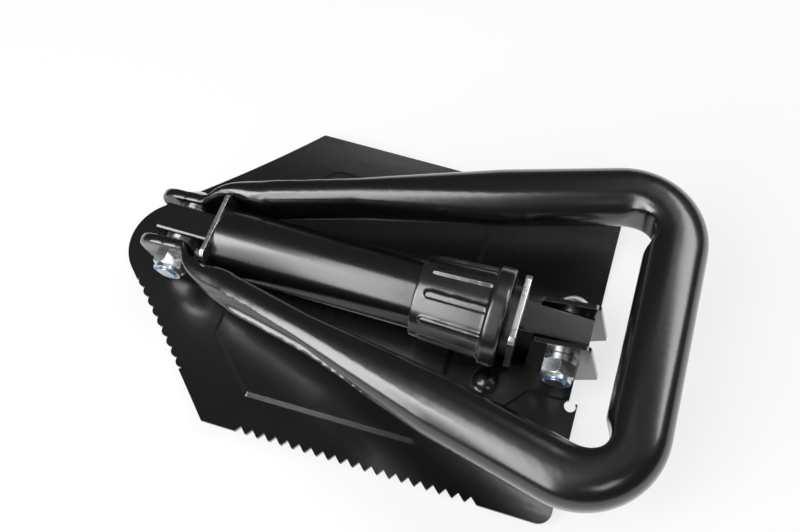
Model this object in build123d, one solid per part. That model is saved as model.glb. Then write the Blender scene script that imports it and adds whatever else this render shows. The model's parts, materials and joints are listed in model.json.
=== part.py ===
from build123d import *
import os
from math import asin, atan, atan2, cos, degrees, hypot, radians, sin, tan

# Tri-fold camp shovel, stored folded. Millimetres, +Z up.
# X runs along the shaft: the blade tip points to -X, the blade heel and the grip to +X.
# The origin lies on the blade's underside, straight below the blade pivot.

# ---- shaft line and pivots -------------------------------------------------
AXIS_Z = 23.5          # height of the shaft axis over the blade's underside
PIVOT_SPAN = 172.0     # from blade pivot to handle pivot
HANDLE_TILT = 6.0      # the folded handle stands up by this angle

# ---- blade -----------------------------------------------------------------
SHEET = 2.0
SHOULDER_X = -136.4
SHOULDER_HALF = 75.0
HEEL_X = 12.2
HEEL_HALF = 72.4
TIP_X = -208.0
TIP_R = 23.0
DISH_FLAT = 31.0       # half width of the flat middle
DISH_R = 196.0         # bend of each side of the blade, on its underside
TOOTH_COUNT = 20
TOOTH_PITCH = 5.24
TOOTH_DEPTH = 2.7
FIRST_VALLEY_X = -119.3
LOBE_COUNT = 9
LOBE_PITCH = 5.75
LOBE_DEPTH = 1.5
LOBE_R = 3.3
PANEL_RISE = 1.8
PANEL_SLOPE = 50.0     # from the vertical
RIVET_SPOTS = [(-27.3, 22.3), (-27.3, -22.3), (-5.0, 0.0)]

# ---- hinge bracket ---------------------------------------------------------
EAR_IN = 8.0
EAR_OUT = 10.0
CAM = 13.2             # from the pivot to each locking flat
CAM_TILT = 14.0        # the two upper flats lean by the blade's working angle

# ---- core: the two channels and the tie rod --------------------------------
CHAN_HALF_W = 6.7
CHAN_TOP = 10.5
CHAN_BOTTOM = -10.3
CHAN_T = 1.8
CHAN_REACH = 8.8       # past each pivot
ROD_R = 4.0
PIN_SPOTS = (-132.0, -38.0)

# ---- shaft tube, plates and collar -----------------------------------------
TUBE_R = 15.0
TUBE_WALL = 1.6
PLATE_SIDE = 31.2
PLATE_CORNER = 3.0
END_PLATE_GAP = 17.0   # handle pivot to the end plate's face
END_PLATE_T = 1.8
LOCK_PLATE_GAP = 19.2  # blade pivot to the lock plate's face
LOCK_PLATE_T = 2.7
SLOT_W = 14.4
SLOT_H = 21.8
FLANGE_R = 21.0
FLANGE_X0 = -32.6
FLANGE_X1 = -25.4
COLLAR_X0 = -63.0
COLLAR_R0 = 17.4
COLLAR_R1 = 18.7
RIB_COUNT = 10
RIB_X0 = -58.6
RIB_W = 3.2
RIB_H = 1.2

# ---- pivots' fasteners -----------------------------------------------------
BOLT_R = 4.0
HOLE_R = 4.06
NUT_FLATS = 13.0
NUT_LEN = 7.5
HEAD_R = 7.4
HEAD_H = 5.0

# ---- D handle --------------------------------------------------------------
PRESS_IN = 9.2         # inner face of each pressed end
PRESS_T = 5.0
PRESS_H = 22.4
END_REACH = 15.8       # pivot to the end of the pressed ends
GRIP_S = 205.0         # pivot to the grip's centre line
ARM_Y0 = 15.9          # arm centre line, carried back to the pivot
ARM_SLOPE = 0.2378
BEND_R = 21.0
TAB_FLAT = 8.2         # the pressed end stays flat this far past the pivot
FLAT_W = 13.2          # flattened length of each arm
FLAT_START = 34.0
FLAT_END = 72.0        # the arm starts to swell here
ROUND_S = 132.0        # and is a full tube from here on
OVAL_W = 24.0
OVAL_H = 21.6
HANDLE_WALL = 1.5
SLIT_W = 5.0            # bore left inside the flattened length
GROOVE_S0 = 16.0
GROOVE_S1 = 112.0
GROOVE_HALF_H = 6.4
GROOVE_DEPTH = 5.4
DENT_LONG = 11.0        # the upright inner face of each bend is an oval in plan
DENT_WIDE = 8.2
DENT_SHIFT = 2.5        # its centre lies this far out from the bend's centre

MID = Location((0, 0, AXIS_Z))
ON_BASE = (Align.CENTER, Align.CENTER, Align.MIN)


def y_rod(radius, y0, y1, x=0.0, z=AXIS_Z):
    """A round bar along Y from y0 to y1."""
    return Pos(x, y0, z) * Rot(X=-90) * Cylinder(radius, y1 - y0, align=ON_BASE)


def x_rod(radius, x0, x1):
    """A round bar on the shaft axis from x0 to x1."""
    return Pos(x0, 0, AXIS_Z) * Rot(Y=90) * Cylinder(radius, x1 - x0, align=ON_BASE)


def across_shaft(x, z=AXIS_Z):
    """A sketch plane square to the shaft, with Y to its right."""
    return Plane(origin=(x, 0, z), x_dir=(0, 1, 0), z_dir=(1, 0, 0))


def x_ring(outer, inner, x0, x1):
    return x_rod(outer, x0, x1) - x_rod(inner, x0 - 1, x1 + 1)


def y_ring(outer, inner, y0, y1, x=0.0):
    return y_rod(outer, y0, y1, x) - y_rod(inner, y0 - 1, y1 + 1, x)


# ---- blade -----------------------------------------------------------------
def edge_y(x):
    """Half width of the blade between shoulder and heel."""
    t = (x - SHOULDER_X) / (HEEL_X - SHOULDER_X)
    return SHOULDER_HALF + (HEEL_HALF - SHOULDER_HALF) * t


def flank_lean():
    """Angle between the shaft line and each straight front flank."""
    cx = TIP_X + TIP_R
    reach = hypot(SHOULDER_X - cx, SHOULDER_HALF)
    return atan2(SHOULDER_HALF, SHOULDER_X - cx) - asin(TIP_R / reach)


def blade_outline():
    lean = flank_lean()
    nose_x = SHOULDER_X - SHOULDER_HALF / tan(lean)
    plan = make_face(Polyline(
        (nose_x, 0),
        (SHOULDER_X, SHOULDER_HALF),
        (HEEL_X, HEEL_HALF),
        (HEEL_X, -HEEL_HALF),
        (SHOULDER_X, -SHOULDER_HALF),
        close=True,
    ))
    sketch = Sketch() + plan
    sketch = fillet([v for v in sketch.vertices() if v.X < nose_x + 1], TIP_R)
    sketch = fillet([v for v in sketch.vertices() if v.X > HEEL_X - 1], 6.0)
    # saw teeth along the -Y side: a long flank, then a steep short one
    lean_saw = degrees(atan2(SHOULDER_HALF - HEEL_HALF, HEEL_X - SHOULDER_X))
    gullet = make_face(Polyline(
        (-0.37 * TOOTH_PITCH, -0.3),
        (0, TOOTH_DEPTH),
        (0.61 * TOOTH_PITCH, -0.3),
        close=True,
    ))
    for i in range(TOOTH_COUNT):
        x = FIRST_VALLEY_X + i * TOOTH_PITCH
        sketch -= Pos(x, -edge_y(x)) * Rot(Z=lean_saw) * gullet
    # wavy lobes on the -Y front flank
    ux, uy = -cos(lean), sin(lean)
    run = LOBE_COUNT * LOBE_PITCH
    start = 27.6
    mid = start + run / 2
    strip = Rectangle(run, 2 * LOBE_DEPTH)
    turn = degrees(atan2(uy, ux))
    sketch -= Pos(SHOULDER_X + ux * mid, -SHOULDER_HALF + uy * mid) * Rot(Z=turn) * strip
    for i in range(LOBE_COUNT):
        d = start + (i + 0.5) * LOBE_PITCH
        px = SHOULDER_X + ux * d + uy * LOBE_R
        py = -SHOULDER_HALF + uy * d - ux * LOBE_R
        sketch += Pos(px, py) * Circle(LOBE_R)
    # heel: shallow recess between the ears' feet, and a cap-lifter hook beside it
    recess = make_face(Polyline(
        (8.4, -20.0),
        (8.4, 15.0),
        (HEEL_X + 1, 18.5),
        (HEEL_X + 1, -20.0),
        close=True,
    ))
    sketch -= recess
    hook = Pos(9.3, -21.6) * Circle(2.5)
    sketch -= hook
    return sketch


def dished_slab(low, high):
    """The dished sheet's form between two offsets from its underside, along the whole blade."""
    def arc_points(offset):
        radius = DISH_R - offset
        points = []
        for half in (0.5, 1.0):
            angle = asin((SHOULDER_HALF + 3 - DISH_FLAT) / radius) * half
            points.append((DISH_FLAT + radius * sin(angle), DISH_R - radius * cos(angle)))
        return points
    a_mid, a_end = arc_points(low)
    b_mid, b_end = arc_points(high)
    section = make_face(Wire([
        Line((-DISH_FLAT, low), (DISH_FLAT, low)),
        ThreePointArc((DISH_FLAT, low), a_mid, a_end),
        Line(a_end, b_end),
        ThreePointArc(b_end, b_mid, (DISH_FLAT, high)),
        Line((DISH_FLAT, high), (-DISH_FLAT, high)),
        ThreePointArc((-DISH_FLAT, high), (-b_mid[0], b_mid[1]), (-b_end[0], b_end[1])),
        Line((-b_end[0], b_end[1]), (-a_end[0], a_end[1])),
        ThreePointArc((-a_end[0], a_end[1]), (-a_mid[0], a_mid[1]), (-DISH_FLAT, low)),
    ]))
    # the section is drawn in Y-Z and pushed along X
    plane = Plane(origin=(-230, 0, 0), x_dir=(0, 1, 0), z_dir=(1, 0, 0))
    return extrude(plane * section, amount=260)


def blade():
    sheet = dished_slab(0, SHEET) & extrude(blade_outline(), amount=20)
    # raised stiffening panel: the sheet is pushed up and the underside follows it
    plan = make_face(Polyline(
        (-149.5, -36.0), (-124.5, -61.5), (-44.0, -59.0),
        (-44.0, 59.0), (-124.5, 61.5), (-149.5, 36.0),
        close=True,
    ))
    plan = fillet(plan.vertices(), 5.0)
    mound = extrude(Pos(0, 0, SHEET) * plan, amount=6.5, taper=PANEL_SLOPE)
    lifted = dished_slab(SHEET - 0.6, SHEET + PANEL_RISE) & mound
    hollow = dished_slab(-0.6, PANEL_RISE) & (Pos(0, 0, -SHEET) * mound)
    body = sheet - hollow + lifted
    for x, y in RIVET_SPOTS:
        body -= Pos(x, y, 0) * Cylinder(3.05, 12)
        body -= Pos(x, y, 0) * Cone(4.6, 3.05, 1.2, align=ON_BASE)
    return body


# ---- hinge bracket: base, two outward feet and two cam ears -----------------
def cam_point(u, v):
    a = radians(CAM_TILT)
    return (u * cos(a) - v * sin(a), AXIS_Z + u * sin(a) + v * cos(a))


def ear_face():
    a = radians(CAM_TILT)
    left_top = (-CAM, AXIS_Z + (CAM - CAM * sin(a)) / cos(a))
    profile = make_face(Polyline(
        (-CAM, SHEET),
        left_top,
        cam_point(CAM, CAM),
        cam_point(CAM, -16.8),
        (11.6, 5.4),
        (8.0, SHEET),
        close=True,
    ))
    sketch = Sketch() + profile
    sketch = fillet([v for v in sketch.vertices() if v.Y > AXIS_Z + 3], 2.5)
    sketch = fillet([v for v in sketch.vertices() if v.X > 15], 1.5)
    return sketch


def hinge_bracket():
    base = Pos(-2.6, 0, SHEET) * Box(21.0, 2 * EAR_OUT, 2.0, align=ON_BASE)
    foot_plan = Sketch() + make_face(Polyline(
        (-36.6, 11.5), (-36.6, 26.0), (-30.0, 31.0), (-18.0, 31.0), (-9.0, 20.0), (7.9, 20.0),
        (7.9, EAR_IN), (-CAM, EAR_IN), (-CAM, 11.5),
        close=True,
    ))
    foot_plan = fillet([v for v in foot_plan.vertices() if v.Y > 15], 4.0)
    foot = extrude(Pos(0, 0, SHEET) * foot_plan, amount=2.0)
    body = base + foot + mirror(foot, about=Plane.XZ)
    ear_plane = Plane(origin=(0, EAR_OUT, 0), x_dir=(1, 0, 0), z_dir=(0, -1, 0))
    ear = extrude(ear_plane * ear_face(), amount=EAR_OUT - EAR_IN)
    body += ear + mirror(ear, about=Plane.XZ)
    body -= y_rod(HOLE_R, -20, 20)
    for x, y in RIVET_SPOTS:
        body -= Pos(x, y, 0) * Cylinder(3.05, 12)
    return body


def bracket_rivets():
    rivets = []
    for x, y in RIVET_SPOTS:
        shank = Pos(x, y, 0) * Cylinder(3.0, 4.0, align=ON_BASE)
        sunk = Pos(x, y, 0) * Cone(4.5, 3.0, 1.2, align=ON_BASE)
        cap_r = 9.0
        cap = Pos(x, y, 4.0 + 2.6 - cap_r) * Sphere(cap_r)
        cap &= Pos(x, y, 4.0) * Cylinder(5.6, 5.0, align=ON_BASE)
        rivets.append(shank + sunk + cap)
    return Compound(children=rivets)


# ---- fasteners of one pivot ------------------------------------------------
def pivot_bolt(x, face):
    """Round-head bolt: the head bears on the +Y side, the thread ends past the nut on -Y."""
    shank = y_rod(BOLT_R, -face - NUT_LEN - 0.8, face + 0.5, x)
    dome_r = 8.0
    dome = Pos(x, face + HEAD_H - dome_r, AXIS_Z) * Sphere(dome_r)
    head = y_rod(HEAD_R, face, face + HEAD_H + 1, x) & dome
    return shank + head


def hex_prism(x, y0, y1):
    flat = RegularPolygon(NUT_FLATS / 2, 6, major_radius=False, rotation=30)
    plane = Plane(origin=(x, y0, AXIS_Z), x_dir=(1, 0, 0), z_dir=(0, -1, 0))
    return extrude(plane * flat, amount=y0 - y1)


def pivot_nut(x, face):
    """Hexagon nut on -Y with a thin rolled collar that holds the locking insert."""
    hexagon = hex_prism(x, -face, -face - 5.6)
    dome = Pos(x, -face + 4.6, AXIS_Z) * Sphere(12.2)
    collar = y_rod(6.1, -face - NUT_LEN, -face - 5.6, x)
    body = (hexagon & dome) + collar
    body -= y_rod(HOLE_R, -face - NUT_LEN - 1, -face + 1, x)
    body -= y_rod(5.3, -face - NUT_LEN - 0.1, -face - 5.4, x)
    return body


def nut_insert(x, face):
    return y_ring(5.25, HOLE_R, -face - NUT_LEN + 0.3, -face - 5.45, x)


# ---- core ------------------------------------------------------------------
def channel(x0, x1, pivot_x):
    """Folded channel, open below, from x0 to x1, drilled for its pivot bolt."""
    height = CHAN_TOP - CHAN_BOTTOM
    outer = Sketch() + Rectangle(2 * CHAN_HALF_W, height)
    outer = fillet([v for v in outer.vertices() if v.Y > 0], 1.6)
    inner = Pos(0, -CHAN_T) * Rectangle(2 * (CHAN_HALF_W - CHAN_T), height)
    plane = across_shaft(x0, AXIS_Z + (CHAN_TOP + CHAN_BOTTOM) / 2)
    body = extrude(plane * (outer - inner), amount=x1 - x0)
    return body - y_rod(HOLE_R, -20, 20, pivot_x)


def blade_end_channel():
    body = channel(-46.0, CHAN_REACH, 0.0)
    return body - y_rod(2.05, -20, 20, PIN_SPOTS[1])


def handle_end_channel():
    body = channel(-PIVOT_SPAN - CHAN_REACH, -124.0, -PIVOT_SPAN)
    return body - y_rod(2.05, -20, 20, PIN_SPOTS[0])


def tie_rod():
    body = x_rod(ROD_R, -140.0, -30.0)
    for x in PIN_SPOTS:
        body -= y_rod(2.05, -20, 20, x)
    return body


def tie_rod_pins():
    reach = CHAN_HALF_W + 0.8
    return Compound(children=[y_rod(2.0, -reach, reach, x) for x in PIN_SPOTS])


def spring_seat():
    return x_ring(11.5, ROD_R + 0.02, -70.0, -67.5)


def return_spring():
    """Open coil round the tie rod, between the guide bush and the spring seat."""
    coil_r = 8.6
    wire_r = 1.0
    start_x = -98.6
    coil = Helix(pitch=4.6, height=26.8, radius=coil_r, center=(start_x, 0, AXIS_Z), direction=(1, 0, 0))
    return sweep(Plane(origin=coil @ 0, z_dir=coil % 0) * Circle(wire_r), path=coil)


def hinge_shims():
    shims = []
    for x, outer in ((0.0, EAR_IN), (-PIVOT_SPAN, PRESS_IN)):
        ring = y_ring(7.0, HOLE_R, CHAN_HALF_W + 0.02, outer - 0.15, x)
        shims.append(ring)
        shims.append(mirror(ring, about=Plane.XZ))
    return Compound(children=shims)


# ---- shaft -----------------------------------------------------------------
def square_plate(x0, thick):
    """A square plate across the shaft, with the slot the channel passes through."""
    sketch = RectangleRounded(PLATE_SIDE, PLATE_SIDE, PLATE_CORNER)
    sketch -= Pos(0, 0.1) * RectangleRounded(SLOT_W, SLOT_H, 1.5)
    return extrude(across_shaft(x0) * sketch, amount=thick)


END_X0 = -PIVOT_SPAN + END_PLATE_GAP
TUBE_X0 = END_X0 + END_PLATE_T
TUBE_X1 = -40.0


def end_plate():
    return square_plate(END_X0, END_PLATE_T)


def shaft_tube():
    return x_ring(TUBE_R, TUBE_R - TUBE_WALL, TUBE_X0, TUBE_X1)


def threaded_sleeve():
    return x_ring(16.35, TUBE_R + 0.02, -52.0, TUBE_X1)


def guide_bush():
    return x_ring(TUBE_R - TUBE_WALL, ROD_R + 0.15, -106.0, -100.0)


# ---- lock plate and collar -------------------------------------------------
def lock_plate():
    return square_plate(-LOCK_PLATE_GAP - LOCK_PLATE_T, LOCK_PLATE_T)


def thrust_ring():
    return x_ring(14.9, 13.0, FLANGE_X1 + 0.2, -LOCK_PLATE_GAP - LOCK_PLATE_T)


def collar_rib():
    """One rib of the grip, round at its free end and softened along its top."""
    crest = make_face(Polyline(
        (RIB_X0 - 1, 12.0),
        (RIB_X0 - 1, COLLAR_R0 + RIB_H),
        (FLANGE_X0 + 0.5, COLLAR_R1 + RIB_H),
        (FLANGE_X0 + 0.5, 12.0),
        close=True,
    ))
    length = FLANGE_X0 - RIB_X0 + 2 * RIB_W
    plan = SlotOverall(length, RIB_W)
    blank = Pos(RIB_X0 + length / 2, 0, 16.0) * extrude(plan, amount=8.0)
    rib = blank & revolve(Plane.XZ * crest, Axis.X)
    top = rib.faces().sort_by(Axis.Z)[-1]
    return fillet([e for e in top.edges() if e.center().X < FLANGE_X0], 0.7)


def locking_collar():
    skin = Sketch() + make_face(Polyline(
        (COLLAR_X0, 12.0), (COLLAR_X0, COLLAR_R0), (FLANGE_X0, COLLAR_R1), (FLANGE_X0, FLANGE_R),
        (FLANGE_X1, FLANGE_R), (FLANGE_X1, 12.0),
        close=True,
    ))
    skin = fillet([v for v in skin.vertices() if v.Y > FLANGE_R - 0.1], 0.9)
    skin = fillet([v for v in skin.vertices() if v.X < COLLAR_X0 + 0.1 and v.Y > 15], 0.8)
    solid = revolve(Plane.XZ * skin, Axis.X)
    rib = collar_rib()
    for i in range(RIB_COUNT):
        solid += Rot(X=360.0 * (i + 0.5) / RIB_COUNT) * rib
    body = MID * solid
    body -= x_rod(TUBE_R + 0.15, COLLAR_X0 - 1, FLANGE_X1 + 1)
    body -= x_rod(16.5, -59.4, FLANGE_X1 + 1)
    return body


# ---- D handle: one oval tube, bent round and pressed flat at both ends ------
def ease(t):
    """0 to 1 with a flat start and end."""
    t = min(max(t, 0.0), 1.0)
    return t * t * (3 - 2 * t)


def arm_line(s):
    return ARM_Y0 + ARM_SLOPE * s


def arm_width(s):
    """Across Y: pressed flat at the pivot, then flattened, then the full tube."""
    first = (FLAT_W - PRESS_T) * ease((s - TAB_FLAT) / (FLAT_START - TAB_FLAT))
    second = (OVAL_W - FLAT_W) * max(s - FLAT_END, 0.0) / (ROUND_S - FLAT_END)
    return PRESS_T + first + second


def arm_height(s):
    return PRESS_H + (OVAL_H - PRESS_H) * max(s - FLAT_END, 0.0) / (ROUND_S - FLAT_END)


def arm_plane(s, y, turn):
    """A sketch plane across the arm, its normal turned from the shaft line by this angle."""
    t = radians(turn)
    return Plane(origin=(s, y, 0), x_dir=(-sin(t), cos(t), 0), z_dir=(cos(t), sin(t), 0))


def arm_section(s, y, turn, inset=0.0):
    wide = arm_width(s) - 2 * inset
    tall = arm_height(s) - 2 * inset
    return arm_plane(s, y, turn) * RectangleRounded(wide, tall, 0.46 * min(wide, tall))


def bend_centre():
    """Centre of the bend between the +Y arm and the grip."""
    s = GRIP_S - BEND_R
    return s, arm_line(s) - BEND_R / cos(atan(ARM_SLOPE))


def grip_path(start):
    return FilletPolyline(
        (start, arm_line(start), 0),
        (GRIP_S, arm_line(GRIP_S), 0),
        (GRIP_S, -arm_line(GRIP_S), 0),
        (start, -arm_line(start), 0),
        radius=BEND_R,
    )


def bend_dents(grow=0.0):
    """The bend collapses the tube's inner wall to an upright face, deepest on the diagonal."""
    s, y = bend_centre()
    turn = 45 - degrees(atan(ARM_SLOPE)) / 2
    oval = Pos(DENT_SHIFT, 0) * Ellipse(DENT_LONG + grow, DENT_WIDE + grow)
    post = extrude(Pos(s, y) * Rot(Z=turn) * oval, amount=30, both=True)
    return post + mirror(post, about=Plane.XZ)


def groove(depth):
    """The outer wall of the flattened length is pushed in, which leaves a rim above and below."""
    s = (GROOVE_S0 + GROOVE_S1) / 2
    half = (GROOVE_S1 - GROOVE_S0) / 2
    outer_face = arm_line(s) + FLAT_W / 2
    egg = scale(Sphere(1.0), by=(half, depth, GROOVE_HALF_H))
    return Pos(s, outer_face + 0.6, -1.0) * Rot(Z=degrees(atan(ARM_SLOPE))) * egg


def arm_end():
    """Pressed end, joggled round the end plate, then swelling to the tube."""
    lean = degrees(atan(ARM_SLOPE))
    tab = Pos(-END_REACH, PRESS_IN, 0) * Box(
        END_REACH + TAB_FLAT, PRESS_T, PRESS_H, align=(Align.MIN, Align.MIN, Align.CENTER)
    )
    tab = fillet([e for e in tab.edges().filter_by(Axis.Y) if e.center().X < 0], 8.0)
    joggle = loft([
        arm_section(TAB_FLAT, PRESS_IN + PRESS_T / 2, 0.0),
        arm_section(15.4, 19.5, 22.0),
        arm_section(22.0, arm_line(22.0), lean),
        arm_section(FLAT_START, arm_line(FLAT_START), lean),
    ])
    stations = (FLAT_START, FLAT_END, ROUND_S)
    swell = loft([arm_section(s, arm_line(s), lean) for s in stations], ruled=True)
    return tab + (joggle + swell - groove(GROOVE_DEPTH))


def arm_cavity():
    """What is left of the tube's bore between the two walls of the flattened length."""
    lean = degrees(atan(ARM_SLOPE))
    slots = []
    for s, wide, tall in ((FLAT_START, SLIT_W, 16.0), (GROOVE_S1, SLIT_W, 17.0)):
        y = arm_line(s) - (FLAT_W - SLIT_W) / 2 + HANDLE_WALL
        slots.append(arm_plane(s, y, lean) * RectangleRounded(wide, tall, 0.46 * wide))
    for s in (GROOVE_S1 + 14.0, ROUND_S):
        slots.append(arm_section(s, arm_line(s), lean, HANDLE_WALL))
    return loft(slots, ruled=True)


def d_handle():
    lean = degrees(atan(ARM_SLOPE))
    path = grip_path(ROUND_S)
    outer = sweep(arm_section(ROUND_S, arm_line(ROUND_S), lean), path=path) - bend_dents()
    bore = sweep(arm_section(ROUND_S, arm_line(ROUND_S), lean, HANDLE_WALL), path=path)
    bore -= bend_dents(HANDLE_WALL)
    end = arm_end()
    cavity = arm_cavity()
    solid = outer + end + mirror(end, about=Plane.XZ)
    body = solid - (bore + cavity + mirror(cavity, about=Plane.XZ))
    body -= Rot(X=90) * Cylinder(HOLE_R, 80)
    return Pos(-PIVOT_SPAN, 0, AXIS_Z) * Rot(Y=-HANDLE_TILT) * body


SHIM_FACE = EAR_OUT + 2.8
PRESS_FACE = PRESS_IN + PRESS_T


def pivot_washers():
    ring = y_ring(6.6, HOLE_R, EAR_OUT, SHIM_FACE)
    return Compound(children=[ring, mirror(ring, about=Plane.XZ)])


NODES = {
    "blade": blade,
    "hinge_bracket": hinge_bracket,
    "bracket_rivets": bracket_rivets,
    "blade_pivot_bolt": lambda: pivot_bolt(0.0, SHIM_FACE),
    "blade_pivot_nut": lambda: pivot_nut(0.0, SHIM_FACE),
    "blade_nut_insert": lambda: nut_insert(0.0, SHIM_FACE),
    "blade_pivot_washers": pivot_washers,
    "blade_end_channel": blade_end_channel,
    "handle_end_channel": handle_end_channel,
    "tie_rod": tie_rod,
    "tie_rod_pins": tie_rod_pins,
    "spring_seat": spring_seat,
    "return_spring": return_spring,
    "hinge_shims": hinge_shims,
    "shaft_tube": shaft_tube,
    "end_plate": end_plate,
    "threaded_sleeve": threaded_sleeve,
    "guide_bush": guide_bush,
    "lock_plate": lock_plate,
    "thrust_ring": thrust_ring,
    "locking_collar": locking_collar,
    "d_handle": d_handle,
    "handle_pivot_bolt": lambda: pivot_bolt(-PIVOT_SPAN, PRESS_FACE),
    "handle_pivot_nut": lambda: pivot_nut(-PIVOT_SPAN, PRESS_FACE),
    "handle_nut_insert": lambda: nut_insert(-PIVOT_SPAN, PRESS_FACE),
}

for name, make in NODES.items():
    shape = make()
    export_step(shape, f"parts/{name}.step")
    print(name, round(shape.volume, 1))
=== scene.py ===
# %% [markdown]
# # A folded camp shovel
# The shovel is a dished steel blade, a tube shaft locked by a screw collar, and a
# D handle bent from one oval tube. It lies folded: the handle is turned back over
# the shaft and both lie on the blade. The solids come from the CAD frame. Blender
# gives them their finishes, and finer pieces where the real ones have softer forms.
# %% Load the frame
import json
import math
import bpy
from mathutils import Matrix, Vector


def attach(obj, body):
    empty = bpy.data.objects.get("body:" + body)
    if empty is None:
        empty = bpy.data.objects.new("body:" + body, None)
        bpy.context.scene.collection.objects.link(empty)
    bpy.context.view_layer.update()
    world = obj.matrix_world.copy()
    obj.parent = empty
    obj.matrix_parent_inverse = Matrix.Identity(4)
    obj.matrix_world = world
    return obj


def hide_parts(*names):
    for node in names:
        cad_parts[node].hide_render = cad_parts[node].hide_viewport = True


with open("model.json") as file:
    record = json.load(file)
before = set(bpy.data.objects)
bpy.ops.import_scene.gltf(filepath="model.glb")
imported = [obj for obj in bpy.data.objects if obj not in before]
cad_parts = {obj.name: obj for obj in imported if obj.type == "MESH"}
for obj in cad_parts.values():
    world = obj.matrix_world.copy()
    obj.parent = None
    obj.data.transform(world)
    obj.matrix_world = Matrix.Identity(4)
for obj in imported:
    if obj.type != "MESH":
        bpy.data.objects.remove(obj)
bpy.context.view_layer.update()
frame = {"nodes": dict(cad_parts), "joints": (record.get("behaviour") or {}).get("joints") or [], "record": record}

nodes = frame["nodes"]

# %% [markdown]
# ## Helpers for materials
# A colour is written as the sRGB hex value that a colour chart gives, and Blender
# works in linear light, so one function converts it. A second one adds a node to a
# material with its links and its settings, which keeps each recipe short. The third
# turns the size of a pattern in millimetres into the Scale that a texture asks for.
# %% Colour and node helpers
def linear(hex_colour):
    parts = [int(hex_colour[i:i + 2], 16) / 255 for i in (1, 3, 5)]
    out = [c / 12.92 if c <= 0.04045 else ((c + 0.055) / 1.055) ** 2.4 for c in parts]
    return (*out, 1.0)


def new_material(name):
    material = bpy.data.materials.new(name)
    material.use_nodes = True
    material.node_tree.nodes.clear()
    return material, material.node_tree


def add(tree, kind, links=None, values=None, **settings):
    node = tree.nodes.new(kind)
    for name, value in settings.items():
        setattr(node, name, value)
    for socket, value in (values or {}).items():
        node.inputs[socket].default_value = value
    for socket, source in (links or {}).items():
        tree.links.new(source, node.inputs[socket])
    return node


def repeats(size_mm):
    """How often a pattern of this size fits in a metre."""
    return 1000 / size_mm


# Most of a noise texture's values lie between these two, so shine is spread over them.
noise_spread = {"From Min": 0.3, "From Max": 0.7}
print("a tenth of white on a chart is", round(linear("#1A1A1A")[0], 4), "in linear light")

# %% [markdown]
# ## Powder coat on steel
# The blade, brackets, shaft tube and handle are steel, blasted and coated with a
# baked polyester powder. The coat is a dielectric, so it has no metallic value. It
# flows in the oven to a satin skin with a faint ripple, called orange peel, whose
# waves are 3 mm long, and a grit that spreads its highlights. Real grit is a tenth
# of a millimetre or so; here it is 0.7 mm, coarse enough to show. Where hands rub
# the coat it shines a little more, in patches a few centimetres wide. The Coat layer
# gives the eye the sharper of the two highlights that a satin coat has.
# %% Powder coat
peel_mm, grit_mm, rubbed_mm = 3.0, 0.7, 45.0
peel_depth, grit_depth = 0.0004, 0.0002


def powder_coat(name, colour, rough, ripple, gloss):
    material, tree = new_material(name)
    where = add(tree, "ShaderNodeTexCoord").outputs["Object"]
    peel = add(tree, "ShaderNodeTexNoise", {"Vector": where},
               {"Scale": repeats(peel_mm), "Detail": 2.0, "Roughness": 0.5})
    grit = add(tree, "ShaderNodeTexNoise", {"Vector": where},
               {"Scale": repeats(grit_mm), "Detail": 2.0, "Roughness": 0.6})
    rubbed = add(tree, "ShaderNodeTexNoise", {"Vector": where},
                 {"Scale": repeats(rubbed_mm), "Detail": 4.0, "Roughness": 0.6})
    shine = add(tree, "ShaderNodeMapRange", {"Value": rubbed.outputs["Fac"]},
                {**noise_spread, "To Min": rough - 0.02, "To Max": rough + 0.03})
    coarse = add(tree, "ShaderNodeBump", {"Height": peel.outputs["Fac"]},
                 {"Strength": 0.05 * ripple, "Distance": peel_depth})
    fine = add(tree, "ShaderNodeBump",
               {"Height": grit.outputs["Fac"], "Normal": coarse.outputs["Normal"]},
               {"Strength": 0.05 * ripple, "Distance": grit_depth})
    shader = add(tree, "ShaderNodeBsdfPrincipled",
                 {"Roughness": shine.outputs["Result"], "Normal": fine.outputs["Normal"],
                  "Coat Normal": coarse.outputs["Normal"]},
                 {"Base Color": linear(colour), "IOR": 1.55,
                  "Coat Weight": gloss, "Coat Roughness": 0.17, "Coat IOR": 1.5})
    add(tree, "ShaderNodeOutputMaterial", {"Surface": shader.outputs["BSDF"]})
    return material


black_coat = powder_coat("satin_black_polyester_powder_coat_on_steel", "#090909",
                         rough=0.26, ripple=1.0, gloss=0.8)
print("made", black_coat.name)

# %% [markdown]
# ## Moulded nylon
# The collar is glass-filled nylon, injection moulded in a spark-eroded cavity. The
# cavity leaves a fine even grain, which is drawn here at 0.6 mm so that it shows.
# The skin over the grain is smooth resin, so it still carries a soft bright band.
# The same nylon without glass, dyed blue, makes the locking ring in each nut.
# %% Collar nylon
grain_mm, flow_mm, grain_depth = 0.6, 20.0, 0.0002


def moulded_nylon(name, colour, rough):
    material, tree = new_material(name)
    where = add(tree, "ShaderNodeTexCoord").outputs["Object"]
    grain = add(tree, "ShaderNodeTexNoise", {"Vector": where},
                {"Scale": repeats(grain_mm), "Detail": 3.0, "Roughness": 0.7})
    flow = add(tree, "ShaderNodeTexNoise", {"Vector": where},
               {"Scale": repeats(flow_mm), "Detail": 3.0})
    shine = add(tree, "ShaderNodeMapRange", {"Value": flow.outputs["Fac"]},
                {**noise_spread, "To Min": rough - 0.03, "To Max": rough + 0.05})
    skin = add(tree, "ShaderNodeBump", {"Height": grain.outputs["Fac"]},
               {"Strength": 0.12, "Distance": grain_depth})
    shader = add(tree, "ShaderNodeBsdfPrincipled",
                 {"Roughness": shine.outputs["Result"], "Normal": skin.outputs["Normal"]},
                 {"Base Color": linear(colour), "IOR": 1.53,
                  "Coat Weight": 1.0, "Coat IOR": 1.6, "Coat Roughness": 0.20})
    add(tree, "ShaderNodeOutputMaterial", {"Surface": shader.outputs["BSDF"]})
    return material


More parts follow.
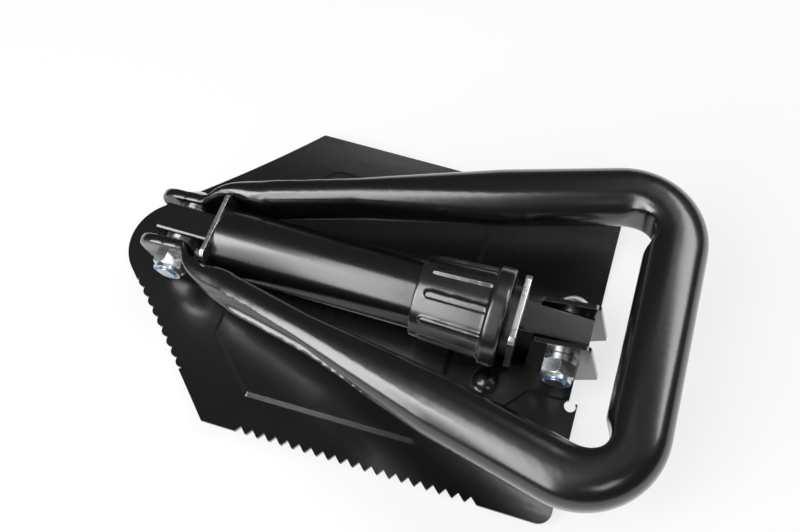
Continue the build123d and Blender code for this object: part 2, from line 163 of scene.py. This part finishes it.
collar_nylon = moulded_nylon("moulded_glass_filled_nylon_black", "#101011", rough=0.30)
insert_nylon = moulded_nylon("moulded_nylon_insert_blue", "#2F86D6", rough=0.30)
print("made", collar_nylon.name, "and", insert_nylon.name)

# %% [markdown]
# ## Zinc plate, bare steel and black oxide
# Bolts, nuts, washers, the rod and the two square plates are steel, electroplated
# with zinc and passivated bright. The metal is a cool pale grey. Tumbling in the
# plating barrel leaves scuffs 0.8 mm wide and longer one way than the other, and its
# shine and tone vary in clouds of about 6 mm. The sleeve, the bush and the spring
# inside the tube are bare steel with the same marks, only darker. The thrust ring is
# chemically blackened, which looks like a thin dull coat and has no gloss layer.
# %% Zinc plate and bare steel
cloud_mm, scuff_mm, scuff_depth = 6.0, 0.8, 0.0002
scuff_stretch = (1.0, 0.12, 1.0)
darker_cloud = 0.78


def plated_steel(name, colour, rough, scuff):
    material, tree = new_material(name)
    where = add(tree, "ShaderNodeTexCoord").outputs["Object"]
    cloud = add(tree, "ShaderNodeTexNoise", {"Vector": where},
                {"Scale": repeats(cloud_mm), "Detail": 4.0, "Roughness": 0.6})
    stretch = add(tree, "ShaderNodeMapping", {"Vector": where}, {"Scale": scuff_stretch})
    scuffs = add(tree, "ShaderNodeTexNoise", {"Vector": stretch.outputs["Vector"]},
                 {"Scale": repeats(scuff_mm), "Detail": 3.0, "Roughness": 0.7})
    tone = add(tree, "ShaderNodeMix", {"Factor": cloud.outputs["Fac"]}, data_type="RGBA")
    tone.inputs["A"].default_value = linear(colour)
    tone.inputs["B"].default_value = tuple(darker_cloud * c for c in linear(colour)[:3]) + (1.0,)
    shine = add(tree, "ShaderNodeMapRange", {"Value": cloud.outputs["Fac"]},
                {**noise_spread, "To Min": rough - 0.06, "To Max": rough + 0.08})
    skin = add(tree, "ShaderNodeBump", {"Height": scuffs.outputs["Fac"]},
               {"Strength": scuff, "Distance": scuff_depth})
    shader = add(tree, "ShaderNodeBsdfPrincipled",
                 {"Base Color": tone.outputs["Result"], "Roughness": shine.outputs["Result"],
                  "Normal": skin.outputs["Normal"]},
                 {"Metallic": 1.0})
    add(tree, "ShaderNodeOutputMaterial", {"Surface": shader.outputs["BSDF"]})
    return material


zinc_plate = plated_steel("bright_zinc_plate_on_steel", "#DADDE0", rough=0.28, scuff=0.16)
turned_steel = plated_steel("turned_steel_oiled", "#A2A3A6", rough=0.34, scuff=0.25)
spring_wire = plated_steel("drawn_spring_wire", "#77787C", rough=0.30, scuff=0.20)
black_oxide = powder_coat("black_oxide_on_steel", "#080808", rough=0.45, ripple=0.4, gloss=0.0)
print("made", zinc_plate.name, turned_steel.name, spring_wire.name, black_oxide.name)

# %% [markdown]
# ## Finishes on the CAD nodes
# The record names a finish slot for every node. Each slot has one material here, and
# it goes into the material slots of the node's own object, so the mesh isn't touched.
# %% Give each node its finish
finish_of_slot = {
    "black_coat": black_coat,
    "collar_nylon": collar_nylon,
    "black_ring": black_oxide,
    "zinc_steel": zinc_plate,
    "plain_steel": turned_steel,
    "spring_steel": spring_wire,
    "nylon_blue": insert_nylon,
}
slot_of_node = {part["node"]: part["material_slot"] for part in frame["record"]["subparts"]}
for name, obj in nodes.items():
    for material_slot in obj.material_slots:
        material_slot.material = finish_of_slot[slot_of_node[name]]
print("finished", len(nodes), "nodes")

# %% [markdown]
# ## Pieces that stand for a node
# Where a real part has a softer form than its solid, a piece made from a copy of the
# solid takes its place. The solid's mesh is loose triangles, so the copy is merged
# first, and specks of a few faces at its seams are thrown away. The new piece moves
# with the same body as the node that it replaces, and keeps its finish.
# %% Copy a node, and put a piece in its place
bodies = frame["record"]["behaviour"]["bodies"]
body_of_node = {name: body for body, names in bodies.items() for name in names}
merge_within = 2e-6
fewest_faces = 12


def merged_copy(node):
    bpy.ops.object.select_all(action="DESELECT")
    bpy.context.view_layer.objects.active = nodes[node]
    nodes[node].select_set(True)
    bpy.ops.object.duplicate()
    bpy.ops.object.mode_set(mode="EDIT")
    bpy.ops.mesh.select_all(action="SELECT")
    bpy.ops.mesh.remove_doubles(threshold=merge_within)
    bpy.ops.mesh.separate(type="LOOSE")
    bpy.ops.object.mode_set(mode="OBJECT")
    shells = sorted(bpy.context.selected_objects, key=lambda shell: len(shell.data.polygons))
    for speck in [shell for shell in shells if len(shell.data.polygons) < fewest_faces]:
        shells.remove(speck)
        bpy.data.objects.remove(speck)
    bpy.context.view_layer.objects.active = shells[-1]
    bpy.ops.object.join()
    return bpy.context.object


def put_in_place(piece, node):
    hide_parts(node)
    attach(piece, body_of_node[node])
    print(piece.name, "has", len(piece.data.polygons), "faces and rides on", body_of_node[node])


# %% [markdown]
# ## Softened edges
# No real edge is a perfect corner. Sheared sheet is tumbled before it is plated or
# coated, so each edge holds a thin bright line of light. In each of these copies the
# flat faces are joined into single ones, and a Bevel modifier rounds every edge
# sharper than a set angle. Slivers thinner than 0.008 mm that the bevel leaves are
# merged. A Weighted Normal modifier then keeps the large faces flat to the eye.
# %% Round the edges of one piece
sharp_edge_degrees = 28.0
smooth_below_degrees = 50


def softened(node, radius_mm, flat_within=0.5, sliver_mm=0.008):
    piece = merged_copy(node)
    piece.name = "soft_" + node
    bpy.ops.object.mode_set(mode="EDIT")
    bpy.ops.mesh.select_all(action="SELECT")
    bpy.ops.mesh.dissolve_limited(angle_limit=math.radians(flat_within))
    bpy.ops.object.mode_set(mode="OBJECT")
    bevel = piece.modifiers.new("rounded_edges", "BEVEL")
    bevel.width = radius_mm / 1000
    bevel.segments = 2
    bevel.limit_method = "ANGLE"
    bevel.angle_limit = math.radians(sharp_edge_degrees)
    bpy.ops.object.modifier_apply(modifier=bevel.name)
    bpy.ops.object.mode_set(mode="EDIT")
    bpy.ops.mesh.select_all(action="SELECT")
    if sliver_mm > 0:
        bpy.ops.mesh.remove_doubles(threshold=sliver_mm / 1000)
        bpy.ops.mesh.dissolve_degenerate(threshold=sliver_mm / 1000)
    bpy.ops.object.mode_set(mode="OBJECT")
    bpy.ops.object.select_all(action="DESELECT")
    piece.select_set(True)
    bpy.ops.object.shade_smooth_by_angle(angle=math.radians(smooth_below_degrees))
    flat = piece.modifiers.new("large_faces_stay_flat", "WEIGHTED_NORMAL")
    flat.keep_sharp = True
    bpy.ops.object.modifier_apply(modifier=flat.name)
    put_in_place(piece, node)


# %% [markdown]
# Thicker sheet gets the larger radius. The blade is treated with more care than the
# rest: it is dished, so only faces that are truly flat are joined, and the many fine
# faces at its teeth aren't merged.
# %% Round the sheet, plate and hexagon edges
edge_radius_mm = {
    "hinge_bracket": 0.35,
    "blade_end_channel": 0.30,
    "handle_end_channel": 0.30,
    "lock_plate": 0.35,
    "end_plate": 0.30,
    "blade_pivot_nut": 0.22,
    "handle_pivot_nut": 0.22,
    "blade_pivot_washers": 0.25,
    "bracket_rivets": 0.15,
}
for name, radius_mm in edge_radius_mm.items():
    softened(name, radius_mm)
softened("blade", 0.30, flat_within=0.02, sliver_mm=0.0)
print("rounded the edges of", len(edge_radius_mm) + 1, "nodes")

# %% [markdown]
# ## The bent tube of the handle
# The real handle is one tube that was bent and pressed cold, so nothing on it has a
# hard corner: even the pinched edges of the groove and of the bends roll over in a
# millimetre or two. The CAD solid joins its lofts and cuts with exact edges. A voxel
# Remesh modifier lays an even net of small squares over a piece, and a Smooth
# modifier relaxes the net, which rounds each crease about as far as the press would.
# %% Relax the creases of a piece
def relax(piece, net_mm, passes):
    bpy.context.view_layer.objects.active = piece
    net = piece.modifiers.new("even_net", "REMESH")
    net.mode = "VOXEL"
    net.voxel_size = net_mm / 1000
    bpy.ops.object.modifier_apply(modifier=net.name)
    ease = piece.modifiers.new("relaxed_creases", "SMOOTH")
    ease.factor = 0.5
    ease.iterations = passes
    bpy.ops.object.modifier_apply(modifier=ease.name)
    bpy.ops.object.select_all(action="DESELECT")
    piece.select_set(True)
    bpy.ops.object.shade_smooth()
    print(piece.name, "has a net of", len(piece.data.polygons), "squares")


# %% [markdown]
# The groove in each arm was rolled in by a long tool with a round face. Here the
# tool is an egg, a stretched sphere that lies along the arm, and a Boolean modifier
# takes its shape out of the outer wall. The arms leave the hinge pin a little off
# the middle and spread as they go, and the tool is placed along that line. It is
# only a cutter, and is removed.
# %% The tool that presses the groove
arm_start = 0.0159
arm_spread = 0.2378
arm_tilt = math.radians(6.0)
tool_along = 0.050
tool_outside_the_axis = 0.0084
tool_above_the_axis = 0.0045
tool_half_size = (0.036, 0.0062, 0.0058)
tool_roll, tool_dip = math.radians(15.0), math.radians(-2.0)


def press_tool(side):
    hinge = next(joint for joint in frame["joints"] if joint["name"] == "handle_fold")
    outward = arm_start + arm_spread * tool_along + tool_outside_the_axis
    middle_of_tool = Vector(hinge["pos_m"]) + Vector((
        tool_along * math.cos(arm_tilt) - tool_above_the_axis * math.sin(arm_tilt),
        side * outward,
        tool_along * math.sin(arm_tilt) + tool_above_the_axis * math.cos(arm_tilt),
    ))
    turn = (side * tool_roll, tool_dip, side * math.atan(arm_spread))
    bpy.ops.object.select_all(action="DESELECT")
    bpy.ops.mesh.primitive_uv_sphere_add(segments=64, ring_count=48, radius=1.0,
                                         location=middle_of_tool, rotation=turn,
                                         scale=tool_half_size)
    return bpy.context.object


def press_in(piece, tool):
    cut = piece.modifiers.new("pressed_groove", "BOOLEAN")
    cut.operation = "DIFFERENCE"
    cut.object = tool
    bpy.context.view_layer.objects.active = piece
    bpy.ops.object.modifier_apply(modifier=cut.name)
    bpy.data.objects.remove(tool)


# %% [markdown]
# The tube's inner wall can't be seen once the ends are pressed shut, and a net over
# both walls would be twice as heavy, so only the longest shell, the outer one, is
# kept. A net of 0.75 mm squares still holds the bends and the pressed ends.
# %% Press and relax the handle's outer skin
def pressed_skin(node, net_mm, passes):
    merged_copy(node)
    bpy.ops.object.mode_set(mode="EDIT")
    bpy.ops.mesh.select_all(action="SELECT")
    bpy.ops.mesh.separate(type="LOOSE")
    bpy.ops.object.mode_set(mode="OBJECT")
    shells = sorted(bpy.context.selected_objects, key=lambda shell: max(shell.dimensions))
    piece = shells.pop()
    for shell in shells:
        bpy.data.objects.remove(shell)
    print(node, "inner shells left out:", len(shells))
    piece.name = "pressed_" + node
    for side in (1, -1):
        press_in(piece, press_tool(side))
    relax(piece, net_mm, passes)
    put_in_place(piece, node)


pressed_skin("d_handle", net_mm=0.75, passes=18)

# %% [markdown]
# ## The moulded collar
# A nylon collar comes out of a mould, and a mould rounds every rib: each one reads as
# a soft bead with one bright line along its top. The same net and relaxing passes
# that eased the tube give that here, on a finer net, because the ribs are only 3 mm
# wide.
# %% Relax the collar's ribs
def moulded_skin(node, net_mm, passes):
    piece = merged_copy(node)
    piece.name = "moulded_" + node
    relax(piece, net_mm, passes)
    put_in_place(piece, node)


moulded_skin("locking_collar", net_mm=0.40, passes=8)

# %% [markdown]
# ## Floor
# The shovel lies on a white table. The floor is a plain matt white that also glows a
# little to the camera and in reflections, so that it reads as a white studio table
# while it keeps the soft shadow under the blade. It lies a hair below the blade, so
# that the two surfaces don't flicker through each other.
# %% Floor
floor_size = 6.0
floor_gap = 0.0004
glow_share = 0.75

bpy.ops.object.select_all(action="DESELECT")
bpy.ops.mesh.primitive_plane_add(size=floor_size, location=(0, 0, -floor_gap))
floor = bpy.context.object
floor.name = "studio_floor"
floor_white, tree = new_material("studio_white_board")
path = add(tree, "ShaderNodeLightPath")
seen = add(tree, "ShaderNodeMath",
           {0: path.outputs["Is Camera Ray"], 1: path.outputs["Is Glossy Ray"]},
           operation="MAXIMUM")
seen_all = add(tree, "ShaderNodeMath",
               {0: seen.outputs[0], 1: path.outputs["Is Transmission Ray"]},
               operation="MAXIMUM")
share = add(tree, "ShaderNodeMath", {0: seen_all.outputs[0]}, {1: glow_share},
            operation="MULTIPLY")
board = add(tree, "ShaderNodeBsdfDiffuse", values={"Color": linear("#E6E6E6")})
glow = add(tree, "ShaderNodeEmission", values={"Color": linear("#FCFCFC"), "Strength": 1.0})
mix = add(tree, "ShaderNodeMixShader",
          {0: share.outputs[0], 1: board.outputs[0], 2: glow.outputs[0]})
add(tree, "ShaderNodeOutputMaterial", {"Surface": mix.outputs[0]})
floor.data.materials.append(floor_white)
print("floor", floor_size, "m wide")

# %% [markdown]
# ## World
# The world gives the plain fill light. Seen by the camera it is white, and for the
# light it casts it is a mild grey, so the black coat stays black.
# %% World
fill_strength = 0.08

world = bpy.data.worlds.new("studio_room")
bpy.context.scene.world = world
world.use_nodes = True
tree = world.node_tree
tree.nodes.clear()
path = add(tree, "ShaderNodeLightPath")
room = add(tree, "ShaderNodeBackground",
           values={"Color": linear("#FFFFFF"), "Strength": fill_strength})
white = add(tree, "ShaderNodeBackground", values={"Color": linear("#FCFCFC"), "Strength": 1.0})
mix = add(tree, "ShaderNodeMixShader",
          {0: path.outputs["Is Camera Ray"], 1: room.outputs[0], 2: white.outputs[0]})
add(tree, "ShaderNodeOutputWorld", {"Surface": mix.outputs[0]})
print("fill light", fill_strength)

# %% [markdown]
# ## Softboxes
# A glossy black thing shows its form only by what it reflects, so the lamps are
# large soft panels and their shapes matter. Two long strips, one on the left and one
# overhead, each draw a bright line along the tubes. A wide panel behind lights the
# grip, and a small one in front picks out the near edges. Each panel faces the
# shovel's middle, and its long side lies as near as can be to the direction `along`.
# %% Lamps
shovel_middle = Vector((-0.07, 0.0, 0.02))


def softbox(name, place, along, length, width, watts):
    lamp = bpy.data.lights.new(name, "AREA")
    lamp.shape = "RECTANGLE"
    lamp.size = length
    lamp.size_y = width
    lamp.energy = watts
    holder = bpy.data.objects.new(name, lamp)
    bpy.context.scene.collection.objects.link(holder)
    back = (Vector(place) - shovel_middle).normalized()
    side = Vector(along)
    side = (side - side.dot(back) * back).normalized()
    up = back.cross(side)
    rows = [[side[i], up[i], back[i], place[i]] for i in range(3)]
    holder.matrix_world = Matrix(rows + [[0, 0, 0, 1]])
    print(name, length, "by", width, "m,", watts, "W")


softbox("strip_softbox_left", place=(-0.64, -0.50, 0.62), along=(-0.18, -0.70, -0.76),
        length=1.05, width=0.28, watts=8.5)
softbox("strip_softbox_overhead", place=(-0.29, -0.41, 0.725), along=(-0.02, -1.08, -0.63),
        length=1.25, width=0.20, watts=4.9)
softbox("softbox_back_right", place=(0.47, 0.54, 0.86), along=(1.0, -0.20, 0.0),
        length=1.00, width=0.40, watts=7.0)
softbox("small_softbox_front", place=(0.36, -0.50, 0.90), along=(0.0, 1.0, 0.0),
        length=0.30, width=0.23, watts=0.8)

# %% [markdown]
# ## Camera
# The camera looks down on the shovel from its near side, turned a little towards the
# grip and slightly rolled. Azimuth is measured from the -Y direction, and elevation
# from the table. The lens's length over the sensor's width sets how wide it sees.
# %% Camera
azimuth, elevation, roll = math.radians(25.186), math.radians(64.304), math.radians(-7.655)
target = Vector((-0.07586, 0.01193, 0.020))
distance = 0.34678
sensor_mm = 36.0
lens_per_sensor = 797.05 / 800

away = Vector((math.sin(azimuth) * math.cos(elevation),
               -math.cos(azimuth) * math.cos(elevation),
               math.sin(elevation)))
forward = -away
right = forward.cross(Vector((0, 0, 1))).normalized()
up = right.cross(forward)
rolled_right = math.cos(roll) * right + math.sin(roll) * up
rolled_up = -math.sin(roll) * right + math.cos(roll) * up
place = target + away * distance

camera_data = bpy.data.cameras.new("camera")
camera_data.sensor_width = sensor_mm
camera_data.lens = lens_per_sensor * sensor_mm
camera_data.clip_start = 0.01
camera = bpy.data.objects.new("camera", camera_data)
bpy.context.scene.collection.objects.link(camera)
rows = [[rolled_right[i], rolled_up[i], away[i], place[i]] for i in range(3)]
camera.matrix_world = Matrix(rows + [[0, 0, 0, 1]])
bpy.context.scene.camera = camera
bpy.context.scene.view_settings.view_transform = "Standard"
print("camera", round(distance, 3), "m from the shovel")
